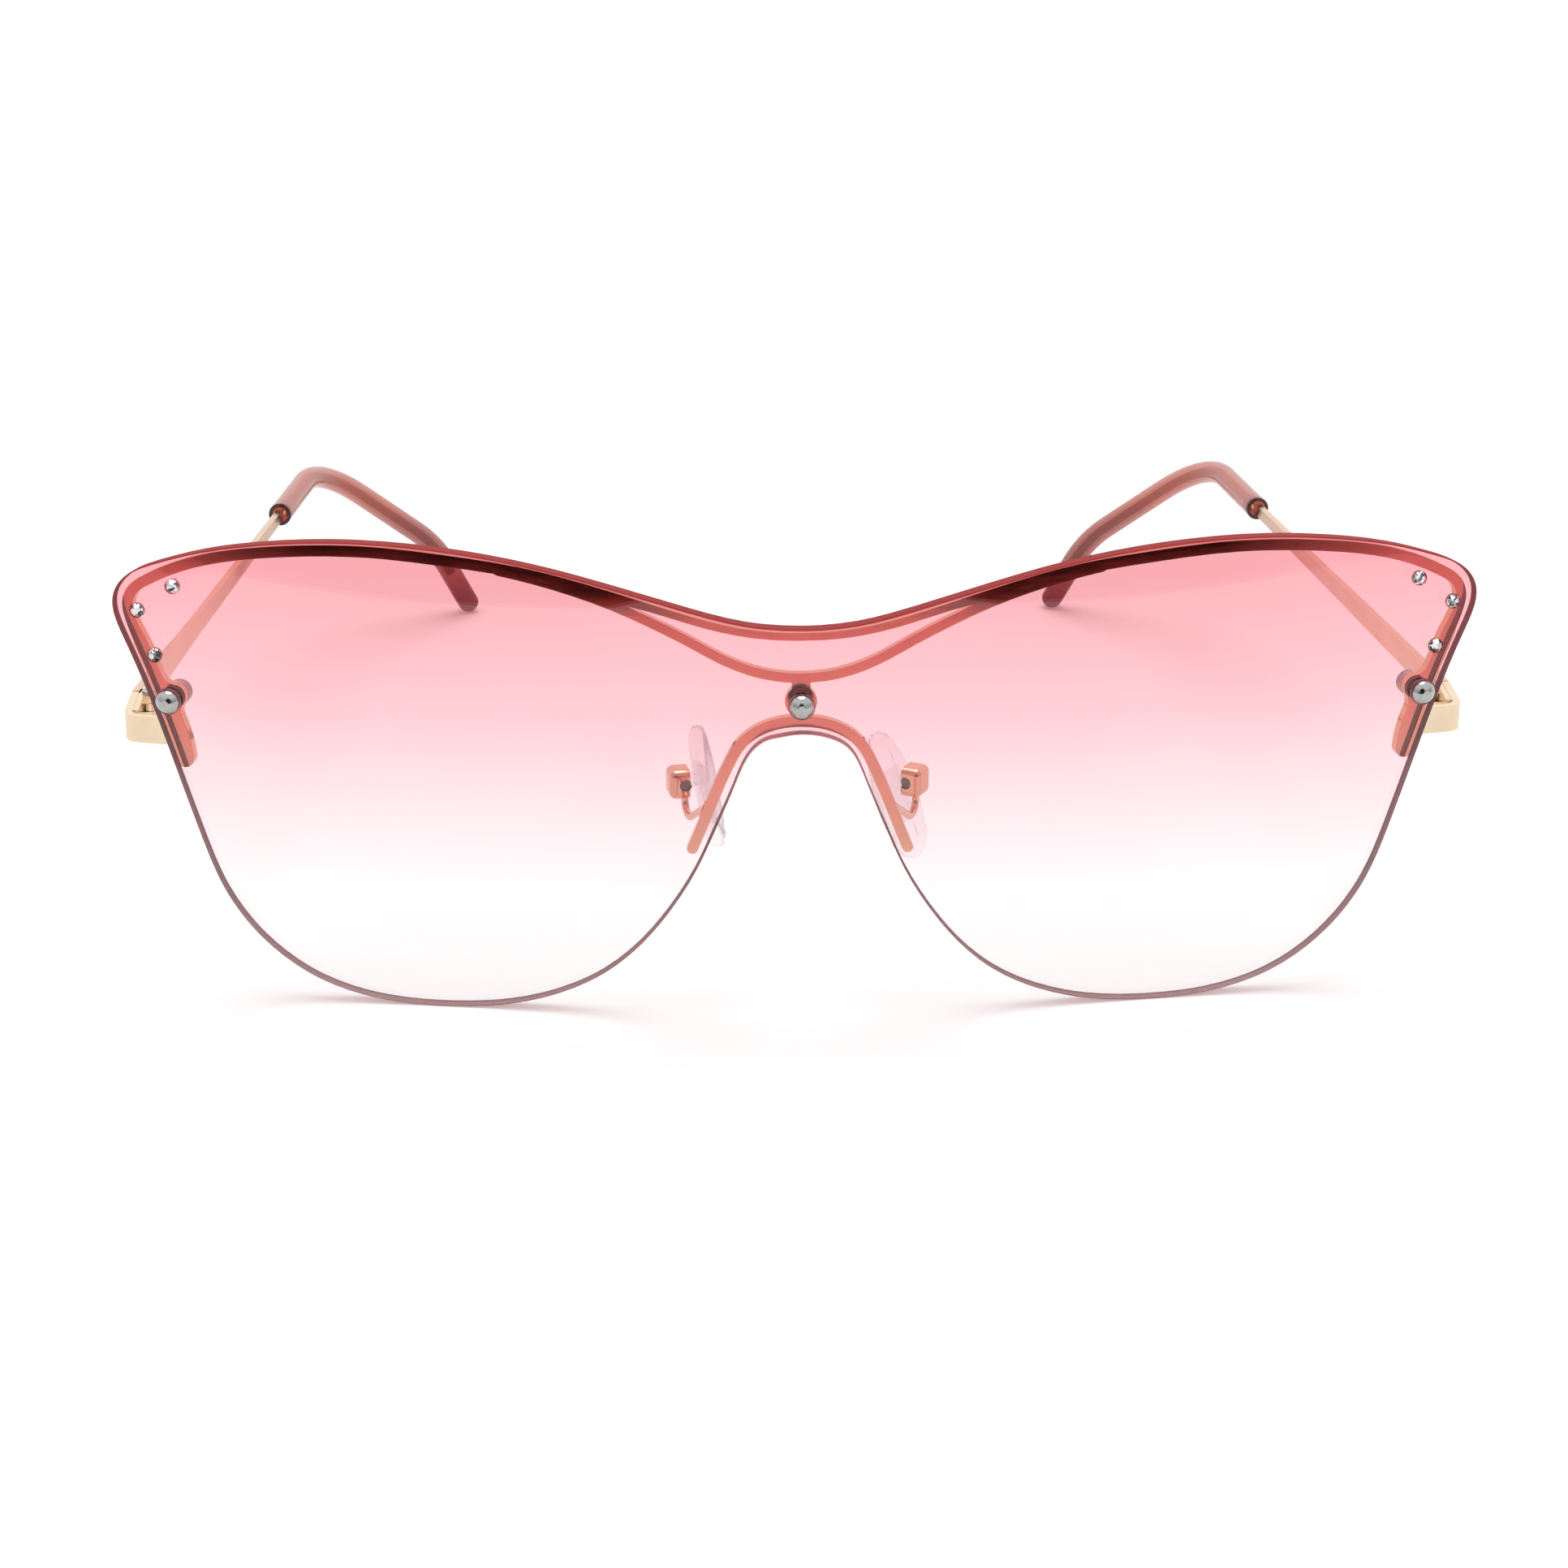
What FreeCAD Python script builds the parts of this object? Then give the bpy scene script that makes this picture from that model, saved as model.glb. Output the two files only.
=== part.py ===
import FreeCAD, Part
import math
import os

Vector = FreeCAD.Vector

# Shield sunglasses in millimetres, standing on the lens and the temple tips.
# +X is the wearer's left, +Y runs back to the ears, +Z is up. The lens faces -Y.
# Every left piece is made on +X, and the right one is its mirror image.

# Shield lens: one spherical sheet over both eyes
LENS_WIDTH = 146.0
LENS_HEIGHT = 52.3
LENS_RADIUS = 290.0
LENS_THICKNESS = 2.0
LENS_EDGE_CHAMFER = 0.15
APEX_HEIGHT_SHARE = 0.478
# Half the outline from the top middle round the temple side to the nose arch,
# as shares of the half width and of the height
LENS_OUTLINE_SHARES = [
    (0.0, 0.8402), (0.082, 0.8494), (0.165, 0.8782), (0.274, 0.9227), (0.384, 0.9619),
    (0.493, 0.9877), (0.603, 1.0001), (0.685, 1.0001), (0.781, 0.9885), (0.8643, 0.9678),
    (0.9339, 0.9384), (0.9808, 0.9047), (0.998, 0.8689), (1.0, 0.8393), (0.9943, 0.8069),
    (0.9808, 0.7611), (0.953, 0.6615), (0.9165, 0.5051), (0.8835, 0.3576), (0.852, 0.2411),
    (0.799, 0.1355), (0.7125, 0.0468), (0.6165, 0.0075), (0.5205, 0.0), (0.4315, 0.0105),
    (0.356, 0.0398), (0.288, 0.0897), (0.233, 0.1584), (0.1905, 0.2351), (0.152, 0.3267),
    (0.1235, 0.4189), (0.0965, 0.511), (0.0835, 0.5564), (0.067, 0.5907), (0.040, 0.6112),
    (0.0, 0.6196),
]

# Front frame: a flat cut bar behind the lens, held off it by the bush collars
FRAME_GAP = 0.4
FRAME_THICKNESS = 1.05
BROW_BAR_WIDTH = 1.25
BROW_MIDDLE_WIDTH = 0.85
BROW_MIDDLE_SHARE = 0.25
SIDE_LEG_WIDTH = 1.6
LEG_FOOT_WIDTH = 2.4
CRESCENT_BAR_WIDTH = 1.05
NOSE_ARCH_WIDTH = 1.2
SIDE_BOSS_RADIUS = 1.4
CENTRE_BOSS_RADIUS = 1.7
BOSS_NECK_WIDTH = 2.0
BOSS_FILLET = 1.5
# Places on the front, as shares of the lens half width and height
BROW_SHARES = [
    (0.0, 0.8174), (0.068, 0.8228), (0.137, 0.8423), (0.219, 0.8766), (0.315, 0.9135),
    (0.411, 0.9454), (0.5205, 0.9658), (0.603, 0.9756), (0.685, 0.9763), (0.767, 0.9680),
    (0.849, 0.9504), (0.911, 0.9240), (0.9555, 0.8940), (0.9785, 0.8687), (0.9855, 0.8418),
    (0.980, 0.8029),
]
LEG_SHARES = [(0.969, 0.7651), (0.953, 0.7073)]
LEG_FOOT_SHARES = [(0.918, 0.5738), (0.9105, 0.5194)]
CRESCENT_SHARES = [
    (0.0, 0.7307), (0.055, 0.7392), (0.110, 0.7666), (0.1645, 0.8079), (0.219, 0.8467),
    (0.274, 0.8811), (0.329, 0.9085), (0.3835, 0.9304), (0.438, 0.9474),
]
ARCH_SHARES = [
    (0.0, 0.6385), (0.0275, 0.6351), (0.051, 0.6256), (0.0725, 0.6092), (0.0875, 0.5897),
    (0.099, 0.5648), (0.1085, 0.5369), (0.1175, 0.508), (0.133, 0.4533), (0.159, 0.3606),
]
CENTRE_SCREW_SHARES = (0.0, 0.6809)
SIDE_SCREW_SHARES = (0.922, 0.6495)
STONE_SHARES = {
    "top": (0.9095, 0.8916),
    "corner": (0.9635, 0.8368),
    "low": (0.940, 0.7451),
}

# Lens screws: domed head, washer, bush with a spacer collar, and a cap nut behind the boss
SCREW_HEAD_RADIUS = 1.28
SCREW_HEAD_HEIGHT = 0.9
SCREW_HEAD_WALL = 0.2
SCREW_HEAD_CROWN = 0.75
SCREW_SHANK_RADIUS = 0.55
WASHER_RADIUS = 1.43
WASHER_THICKNESS = 0.35
BUSH_RADIUS = 0.95
BUSH_COLLAR_RADIUS = 1.25
CAP_NUT_RADIUS = 1.35
CAP_NUT_LENGTH = 1.5
CAP_NUT_ROUND = 0.4
CAP_NUT_THREAD_DEPTH = 1.0
ASSEMBLY_CLEARANCE = 0.03

# Rhinestones set in blind pockets in the lens front
STONE_RADIUS = 0.78
STONE_TABLE_RADIUS = 0.42
STONE_CULET_RADIUS = 0.3
STONE_GIRDLE = 0.1
STONE_CROWN = 0.4
STONE_SEAT_DEPTH = 0.5
STONE_SIDE_COUNT = 8

# End pieces: straps from the backs of the side legs round to the hinges
STRAP_HEIGHT = 3.0
STRAP_THICKNESS = 0.8
STRAP_RUN = 7.6
STRAP_SIDE_INSET = 0.1
STRAP_BEND_RADIUS = 2.2
STRAP_SEAT = 0.1
STRAP_START_SHARE = 0.921
STRAP_HEIGHT_SHARE = 0.5583

# Hinges: two knuckles on the front leaf, one on the temple leaf, and a screw for a pin
BARREL_RADIUS = 1.05
HINGE_SIDE_GAP = 0.15
HINGE_EDGE_INSET = 0.15
HINGE_SCREW_RADIUS = 0.5
HINGE_SCREW_HEAD_RADIUS = 0.85
HINGE_SCREW_HEAD_HEIGHT = 0.3
HINGE_RUNNING_CLEARANCE = 0.05
KNUCKLE_GAP = 0.06
LEAF_THICKNESS = 0.6
LEAF_LENGTH = 4.5
LEAF_CLEARANCE = 0.15
BUTT_GAP = 0.1

# Temples, made fully open and then turned in by the rest fold
REST_FOLD_ANGLE = 6.5
TEMPLE_REACH = 105.5
TEMPLE_FALL = 3.2
TEMPLE_BUTT_HEIGHT = 3.0
TEMPLE_END_HEIGHT = 1.3
TEMPLE_BEND_RADIUS = 18.0
TIP_BACK = 18.0
TIP_INSET = 17.3
TIP_HOOK_RISE = 4.0
TIP_HOOK_SHARE = 0.78
TIP_HOOK_RADIUS = 22.0
CORE_RADIUS = 0.55
CORE_END_SHARE = 0.45
SLEEVE_RADIUS = 1.45
SLEEVE_STRAIGHT_LENGTH = 25.5
SLEEVE_MOUTH_RADIUS = 1.0
SLEEVE_MOUTH_DEPTH = 2.5
SLEEVE_STRIP_ENTRY = 2.0

# Nose pads on boxes behind the nose arch. A positive lean swings the pad's foot outwards.
PAD_SCREW_SPACING = 24.8
PAD_SCREW_HEIGHT_SHARE = 0.4443
PAD_STANDOFF = 8.0
PAD_YAW_ANGLES = {"left": 30.0, "right": 12.0}
PAD_LEAN_ANGLES = {"left": 21.0, "right": -9.0}
PAD_WIDTH = 7.5
PAD_HEIGHT = 14.5
PAD_THICKNESS = 2.2
PAD_EDGE_ROUND = 0.9
PAD_DROP = 1.35
PAD_OFFSET = 1.35
# Half the pad's outline from the top down, as shares of its half width and half height
PAD_OUTLINE_SHARES = [
    (0.0, 1.0), (0.56, 0.84), (0.90, 0.36), (1.0, -0.24), (0.84, -0.76), (0.42, -0.975),
    (0.0, -1.0),
]
LUG_RADIUS = 1.0
LUG_THICKNESS = 1.4
LUG_NECK_HEIGHT = 1.2
LUG_BASE_WIDTH = 3.0
LUG_BASE_HEIGHT = 6.0
LUG_BASE_THICKNESS = 0.5
LUG_BASE_SINK = 0.6
BOX_WIDTH = 3.0
BOX_HEIGHT = 3.3
BOX_MOUTH = 0.5
BOX_WALL = 0.6
BOX_EDGE_ROUND = 0.75
BOX_CLEARANCE = 0.1
PAD_SCREW_RADIUS = 0.35
PAD_SCREW_HEAD_RADIUS = 0.65
PAD_SCREW_HEAD_HEIGHT = 0.2
PAD_SCREW_RECESS = 0.35
PAD_RUNNING_CLEARANCE = 0.05
ARM_RADIUS = 0.4
ARM_BEND_RADIUS = 1.5
ARM_DIP = 3.0
ARM_FOOT_OFFSETS = {"left": 0.6, "right": -0.2}
ARM_ROOT_SHARES = (0.1325, 0.455)

# Cutting tools reach this far past the piece that they cut
CUT_OVERRUN = 2.0
# The cones that cut the front run between planes at these shares of the lens radius
NEAR_PLANE_SHARE = 1.05
FAR_PLANE_SHARE = 0.8

# Places that follow from the sizes above
HALF_WIDTH = LENS_WIDTH / 2
APEX_HEIGHT = LENS_HEIGHT * APEX_HEIGHT_SHARE
CENTRE = Vector(0, LENS_RADIUS, APEX_HEIGHT)
LENS_BACK = LENS_RADIUS - LENS_THICKNESS
FRAME_FRONT = LENS_BACK - FRAME_GAP
FRAME_BACK = FRAME_FRONT - FRAME_THICKNESS
BOSS_BACK = LENS_THICKNESS + FRAME_GAP + FRAME_THICKNESS
BACKWARD = Vector(0, 1, 0)
UPWARD = Vector(0, 0, 1)
ORIGIN = Vector(0, 0, 0)


def front_spot(shares):
    """Front-view place in millimetres of a pair of shares."""
    return shares[0] * HALF_WIDTH, shares[1] * LENS_HEIGHT


def outward(shares):
    """Unit vector from the lens centre through a place on the lens front."""
    across, height = front_spot(shares)
    rise = height - APEX_HEIGHT
    depth = math.sqrt(LENS_RADIUS ** 2 - across ** 2 - rise ** 2)
    return Vector(across, -depth, rise) / LENS_RADIUS


def plane_point(shares):
    """The same place, carried along the radius to the plane that touches the lens apex."""
    way = outward(shares)
    return CENTRE + way * (LENS_RADIUS / -way.y)


def sphere_depth(across, height, radius):
    """How far back a concentric sphere lies at a front-view place."""
    rise = height - APEX_HEIGHT
    return CENTRE.y - math.sqrt(radius ** 2 - across ** 2 - rise ** 2)


def ball(radius):
    return Part.makeSphere(radius, CENTRE)


def both_halves(shares):
    """A half table that starts on the middle line, with its mirror image before it."""
    mirrored = [(-across, height) for across, height in reversed(shares[1:])]
    return mirrored + shares


def spline(points, closed=False):
    """Smooth curve through points."""
    curve = Part.BSplineCurve()
    curve.interpolate(Points=points, PeriodicFlag=closed)
    return curve


def spans(edge):
    """An edge as one edge for each span of its curve, in the order of its wire."""
    marks = [edge.FirstParameter, edge.LastParameter]
    if isinstance(edge.Curve, Part.BSplineCurve):
        marks += [knot for knot in edge.Curve.getKnots() if marks[0] < knot < marks[1]]
    marks.sort()
    pieces = [edge.Curve.toShape(start, end) for start, end in zip(marks, marks[1:])]
    return pieces if edge.Orientation == "Forward" else pieces[::-1]


def ribbon(points, widths):
    """Flat bar along a smooth line in the apex plane, with round ends."""
    middle = spline(points)
    left, right, ways = [], [], []
    for point, width in zip(points, widths):
        way = middle.tangent(middle.parameter(point))[0]
        across = Vector(-way.z, 0, way.x) * (width / 2)
        left.append(point + across)
        right.append(point - across)
        ways.append(way)
    head = Part.Arc(left[-1], points[-1] + ways[-1] * (widths[-1] / 2), right[-1])
    foot = Part.Arc(right[0], points[0] - ways[0] * (widths[0] / 2), left[0])
    curves = [spline(left), head, spline(right[::-1]), foot]
    return Part.Face(Part.Wire([curve.toShape() for curve in curves]))


def disc(shares, radius):
    return Part.Face(Part.Wire(Part.makeCircle(radius, plane_point(shares), BACKWARD)))


def cone(wire):
    """Solid between two images of a flat outline, scaled about the lens centre."""
    edges = [piece for edge in wire.OrderedEdges for piece in spans(edge)]
    far = [edge.scaled(FAR_PLANE_SHARE, CENTRE) for edge in edges]
    near = [edge.scaled(NEAR_PLANE_SHARE, CENTRE) for edge in edges]
    sides = [Part.makeRuledSurface(*pair) for pair in zip(far, near)]
    shell = Part.makeShell(sides + [Part.Face(Part.Wire(far)), Part.Face(Part.Wire(near))])
    shell.sewShape()
    return Part.makeSolid(shell)


def curved_plate(face, outer_radius, inner_radius):
    """Spherical sheet with the outline and the windows of a flat face, cut square to the sheet."""
    body = cone(face.OuterWire)
    for wire in face.Wires:
        if not wire.isSame(face.OuterWire):
            body = body.cut(cone(wire))
    return body.common(ball(outer_radius)).cut(ball(inner_radius))


def on_lens(shape, shares):
    """Puts a shape made along Z on the lens front, with Z square to it."""
    way = outward(shares)
    seat = FreeCAD.Placement(CENTRE + way * LENS_RADIUS, FreeCAD.Rotation(UPWARD, way))
    return shape.transformed(seat.toMatrix())


def rod(radius, low, high):
    """Cylinder along Z between two heights."""
    return Part.makeCylinder(radius, high - low, UPWARD * low)


def block(low, high):
    """Box between two corners."""
    size = high - low
    return Part.makeBox(size.x, size.y, size.z, low)


def bent_path(points, radii):
    """Straight runs joined by tangent arcs, one radius for each point between the ends."""
    edges = []
    start = points[0]
    for before, corner, after, radius in zip(points, points[1:], points[2:], radii):
        way_in = (corner - before).normalize()
        way_out = (after - corner).normalize()
        half_turn = way_in.getAngle(way_out) / 2
        reach = radius * math.tan(half_turn)
        inner = (way_out - way_in).normalize()
        middle = corner + inner * (radius / math.cos(half_turn) - radius)
        edges.append(Part.LineSegment(start, corner - way_in * reach).toShape())
        edges.append(Part.Arc(corner - way_in * reach, middle, corner + way_out * reach).toShape())
        start = corner + way_out * reach
    edges.append(Part.LineSegment(start, points[-1]).toShape())
    return Part.Wire(edges)


def tube(points, radii, radius):
    """Round bar along a bent path."""
    way = points[1] - points[0]
    section = Part.Wire(Part.makeCircle(radius, points[0], way))
    return bent_path(points, radii).makePipeShell([section], True, True)


# Lens and front frame

SCREW_PLACES = {
    "centre": CENTRE_SCREW_SHARES,
    "left": SIDE_SCREW_SHARES,
    "right": (-SIDE_SCREW_SHARES[0], SIDE_SCREW_SHARES[1]),
}


def stone_places():
    """Every rhinestone's name and place."""
    places = {}
    for name, (across, height) in STONE_SHARES.items():
        places["left_" + name] = (across, height)
        places["right_" + name] = (-across, height)
    return places


def rims(plate):
    """Edges that run round the front and the back of a curved plate."""
    found = []
    for edge in plate.Edges:
        radii = [(vertex.Point - CENTRE).Length for vertex in edge.Vertexes]
        if max(radii) - min(radii) < LENS_THICKNESS / 2:
            found.append(edge)
    return found


def shield_lens():
    points = [plane_point(shares) for shares in both_halves(LENS_OUTLINE_SHARES)[1:]]
    outline = Part.Wire(spline(points, closed=True).toShape())
    plate = curved_plate(Part.Face(outline), LENS_RADIUS, LENS_BACK).Solids[0]
    lens = plate.makeChamfer(LENS_EDGE_CHAMFER, rims(plate))
    hole = rod(BUSH_RADIUS + ASSEMBLY_CLEARANCE, -LENS_THICKNESS - CUT_OVERRUN, CUT_OVERRUN)
    pocket = rod(STONE_RADIUS + ASSEMBLY_CLEARANCE, -STONE_SEAT_DEPTH, CUT_OVERRUN)
    for shares in SCREW_PLACES.values():
        lens = lens.cut(on_lens(hole, shares))
    for shares in stone_places().values():
        lens = lens.cut(on_lens(pocket, shares))
    return lens


def boss_neck():
    """Flat web from the nose arch through the centre boss to the crescent bar."""
    foot = plane_point(ARCH_SHARES[0])
    head = plane_point(CRESCENT_SHARES[0])
    side = Vector(BOSS_NECK_WIDTH / 2, 0, 0)
    corners = [foot - side, head - side, head + side, foot + side, foot - side]
    return Part.Face(Part.makePolygon(corners))


def frame_face():
    """The frame's flat outline in the apex plane."""
    half = BROW_SHARES + LEG_SHARES + LEG_FOOT_SHARES
    half_widths = [BROW_MIDDLE_WIDTH if across < BROW_MIDDLE_SHARE else BROW_BAR_WIDTH
                   for across, height in BROW_SHARES]
    half_widths += [SIDE_LEG_WIDTH] * len(LEG_SHARES) + [LEG_FOOT_WIDTH] * len(LEG_FOOT_SHARES)
    outer = ribbon([plane_point(shares) for shares in both_halves(half)],
                   half_widths[:0:-1] + half_widths)
    crescent = [plane_point(shares) for shares in both_halves(CRESCENT_SHARES)]
    arch = [plane_point(shares) for shares in both_halves(ARCH_SHARES)]
    pieces = [ribbon(crescent, [CRESCENT_BAR_WIDTH] * len(crescent)),
              ribbon(arch, [NOSE_ARCH_WIDTH] * len(arch)),
              boss_neck()]
    for name, shares in SCREW_PLACES.items():
        pieces.append(disc(shares, CENTRE_BOSS_RADIUS if name == "centre" else SIDE_BOSS_RADIUS))
    return outer.fuse(pieces).removeSplitter().Faces[0]


def boss_corners(frame):
    """The inside corners where the side bosses meet the legs."""
    corners = []
    for name in ("left", "right"):
        middle = CENTRE + outward(SCREW_PLACES[name]) * ((FRAME_FRONT + FRAME_BACK) / 2)
        for edge in frame.Edges:
            radii = [(vertex.Point - CENTRE).Length for vertex in edge.Vertexes]
            near = (edge.CenterOfMass - middle).Length < SIDE_BOSS_RADIUS
            if near and max(radii) - min(radii) > FRAME_THICKNESS / 2:
                corners.append(edge)
    return corners


def front_frame():
    plate = curved_plate(frame_face(), FRAME_FRONT, FRAME_BACK).Solids[0]
    frame = plate.makeFillet(BOSS_FILLET, boss_corners(plate))
    hole = rod(SCREW_SHANK_RADIUS + ASSEMBLY_CLEARANCE, -BOSS_BACK - CUT_OVERRUN, 0)
    for shares in SCREW_PLACES.values():
        frame = frame.cut(on_lens(hole, shares))
    return frame


def handed(shape, side):
    """A left-hand shape, or its mirror image for the right."""
    if side == "right":
        return shape.mirror(ORIGIN, Vector(1, 0, 0))
    return shape


# Lens screws and rhinestones, made along Z with the lens front at zero

def lens_screw():
    """Smooth domed head with a small flat, on a shank that ends inside the cap nut."""
    seat = WASHER_THICKNESS
    crown = (SCREW_HEAD_RADIUS ** 2 + SCREW_HEAD_CROWN ** 2) / (2 * SCREW_HEAD_CROWN)
    dome = Part.makeSphere(crown, UPWARD * (seat + SCREW_HEAD_WALL + SCREW_HEAD_CROWN - crown))
    head = rod(SCREW_HEAD_RADIUS, seat, seat + SCREW_HEAD_HEIGHT).common(dome)
    shank = rod(SCREW_SHANK_RADIUS, -BOSS_BACK - CAP_NUT_THREAD_DEPTH, seat)
    return head.fuse(shank).removeSplitter()


def screw_washer():
    hole = rod(SCREW_SHANK_RADIUS + ASSEMBLY_CLEARANCE, -CUT_OVERRUN, CUT_OVERRUN)
    return rod(WASHER_RADIUS, 0, WASHER_THICKNESS).cut(hole)


def lens_bush(shares):
    """Sleeve in the lens hole with a collar that spaces the frame off the lens."""
    sleeve = on_lens(rod(BUSH_RADIUS, -LENS_THICKNESS - FRAME_GAP / 2, CUT_OVERRUN), shares)
    collar = on_lens(rod(BUSH_COLLAR_RADIUS, -BOSS_BACK, 0), shares)
    collar = collar.common(ball(LENS_BACK)).cut(ball(FRAME_FRONT))
    hole = rod(SCREW_SHANK_RADIUS + ASSEMBLY_CLEARANCE, -BOSS_BACK - CUT_OVERRUN, CUT_OVERRUN)
    bush = sleeve.common(ball(LENS_RADIUS)).fuse(collar).removeSplitter()
    return bush.cut(on_lens(hole, shares))


def cap_nut(shares):
    """Closed nut on the shank, seated on the back of the boss."""
    foot = -BOSS_BACK - CAP_NUT_LENGTH
    nut = rod(CAP_NUT_RADIUS, foot, 0)
    rim = [edge for edge in nut.Edges if edge.BoundBox.ZMax < foot / 2]
    nut = nut.makeFillet(CAP_NUT_ROUND, rim)
    thread = rod(SCREW_SHANK_RADIUS + ASSEMBLY_CLEARANCE, -BOSS_BACK - CAP_NUT_THREAD_DEPTH, 0)
    return on_lens(nut.cut(thread), shares).common(ball(FRAME_BACK))


def rhinestone():
    """Faceted stone: culet, girdle and table."""
    levels = [(STONE_CULET_RADIUS, -STONE_SEAT_DEPTH), (STONE_RADIUS, -STONE_GIRDLE),
              (STONE_RADIUS, 0), (STONE_TABLE_RADIUS, STONE_CROWN)]
    rings = []
    for radius, height in levels:
        corners = []
        for step in range(STONE_SIDE_COUNT + 1):
            turn = 2 * math.pi * step / STONE_SIDE_COUNT
            corners.append(Vector(radius * math.cos(turn), radius * math.sin(turn), height))
        rings.append(Part.makePolygon(corners))
    return Part.makeLoft(rings, True, True)


# End pieces and hinges, left side

STRAP_OUTER = HALF_WIDTH - STRAP_SIDE_INSET
STRAP_INNER = STRAP_OUTER - STRAP_THICKNESS
STRAP_START = HALF_WIDTH * STRAP_START_SHARE
STRAP_MIDDLE = LENS_HEIGHT * STRAP_HEIGHT_SHARE
STRAP_LOW = STRAP_MIDDLE - STRAP_HEIGHT / 2
STRAP_CORNER_DEPTH = sphere_depth(STRAP_OUTER, STRAP_MIDDLE, FRAME_BACK)
SEAM = STRAP_CORNER_DEPTH + STRAP_RUN
HINGE_X = STRAP_INNER - HINGE_SIDE_GAP - BARREL_RADIUS
HINGE_Y = SEAM + BUTT_GAP / 2
HINGE_LOW = STRAP_LOW + HINGE_EDGE_INSET
HINGE_HIGH = STRAP_LOW + STRAP_HEIGHT - HINGE_EDGE_INSET
KNUCKLE_PITCH = (HINGE_HIGH - HINGE_LOW + KNUCKLE_GAP) / 3
LEAF_STANDOFF = BARREL_RADIUS + LEAF_CLEARANCE


def end_piece():
    """Strap that lies on the back of the side leg and turns back to the hinge."""
    start_depth = sphere_depth(STRAP_START, STRAP_MIDDLE, FRAME_BACK) - STRAP_SEAT
    outer = [Vector(STRAP_START, start_depth, STRAP_LOW),
             Vector(STRAP_OUTER, STRAP_CORNER_DEPTH - STRAP_SEAT, STRAP_LOW),
             Vector(STRAP_OUTER, SEAM, STRAP_LOW)]
    normals = [UPWARD.cross(outer[1] - outer[0]).normalize(), Vector(-1, 0, 0)]
    miter = (normals[0] + normals[1]) / (1 + normals[0].dot(normals[1]))
    inner = [outer[0] + normals[0] * STRAP_THICKNESS,
             outer[1] + miter * STRAP_THICKNESS,
             outer[2] + normals[1] * STRAP_THICKNESS]
    outside = bent_path(outer, [STRAP_BEND_RADIUS])
    inside = bent_path(inner, [STRAP_BEND_RADIUS - STRAP_THICKNESS])
    ends = [Part.makeLine(outer[0], inner[0]), Part.makeLine(outer[2], inner[2])]
    outline = Part.Wire(Part.__sortEdges__(outside.Edges + inside.Edges + ends))
    return Part.Face(outline).extrude(UPWARD * STRAP_HEIGHT).common(ball(FRAME_BACK))


def knuckle(level, near):
    """Barrel ring at one of the three levels, counted from the bottom, with its web to the leaf."""
    low = HINGE_LOW + level * KNUCKLE_PITCH
    high = low + KNUCKLE_PITCH - KNUCKLE_GAP
    web = block(Vector(HINGE_X, min(HINGE_Y, near), low), Vector(STRAP_INNER, max(HINGE_Y, near), high))
    return web.fuse(Part.makeCylinder(BARREL_RADIUS, high - low, Vector(HINGE_X, HINGE_Y, low)))


def hinge_bore(clearance):
    height = HINGE_HIGH - HINGE_LOW + 2 * CUT_OVERRUN
    foot = Vector(HINGE_X, HINGE_Y, HINGE_LOW - CUT_OVERRUN)
    return Part.makeCylinder(HINGE_SCREW_RADIUS + clearance, height, foot)


def hinge_leaf(levels, way, clearance):
    """Leaf plate on the inner face of the strip, with a web and a barrel at each level."""
    near = HINGE_Y + way * LEAF_STANDOFF
    far = near + way * LEAF_LENGTH
    face = STRAP_INNER - LEAF_THICKNESS
    leaf = block(Vector(face, min(near, far), HINGE_LOW),
                 Vector(STRAP_INNER, max(near, far), HINGE_HIGH))
    leaf = leaf.fuse([knuckle(level, near) for level in levels]).removeSplitter()
    return leaf.cut(hinge_bore(clearance))


def hinge_screw():
    foot = Vector(HINGE_X, HINGE_Y, HINGE_LOW)
    top = Vector(HINGE_X, HINGE_Y, HINGE_HIGH)
    shank = Part.makeCylinder(HINGE_SCREW_RADIUS, HINGE_HIGH - HINGE_LOW, foot)
    head = Part.makeCylinder(HINGE_SCREW_HEAD_RADIUS, HINGE_SCREW_HEAD_HEIGHT, top)
    return shank.fuse(head).removeSplitter()


# Temples, left side, fully open

STRIP_MIDDLE = (STRAP_INNER + STRAP_OUTER) / 2
BEND = Vector(STRIP_MIDDLE, HINGE_Y + TEMPLE_REACH, STRAP_MIDDLE - TEMPLE_FALL)
TIP = Vector(STRIP_MIDDLE - TIP_INSET, BEND.y + TIP_BACK, SLEEVE_RADIUS)
HOOK = BEND + (TIP - BEND) * TIP_HOOK_SHARE + UPWARD * TIP_HOOK_RISE
CORE_END = HOOK + (TIP - HOOK) * CORE_END_SHARE
PATH_RADII = [TEMPLE_BEND_RADIUS, TIP_HOOK_RADIUS]
SLEEVE_START = TEMPLE_REACH - SLEEVE_STRAIGHT_LENGTH


def temple_line(back):
    """Point on the strip's middle line at a distance behind the hinge."""
    fall = TEMPLE_FALL * back / TEMPLE_REACH
    return Vector(STRIP_MIDDLE, HINGE_Y + back, STRAP_MIDDLE - fall)


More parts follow.
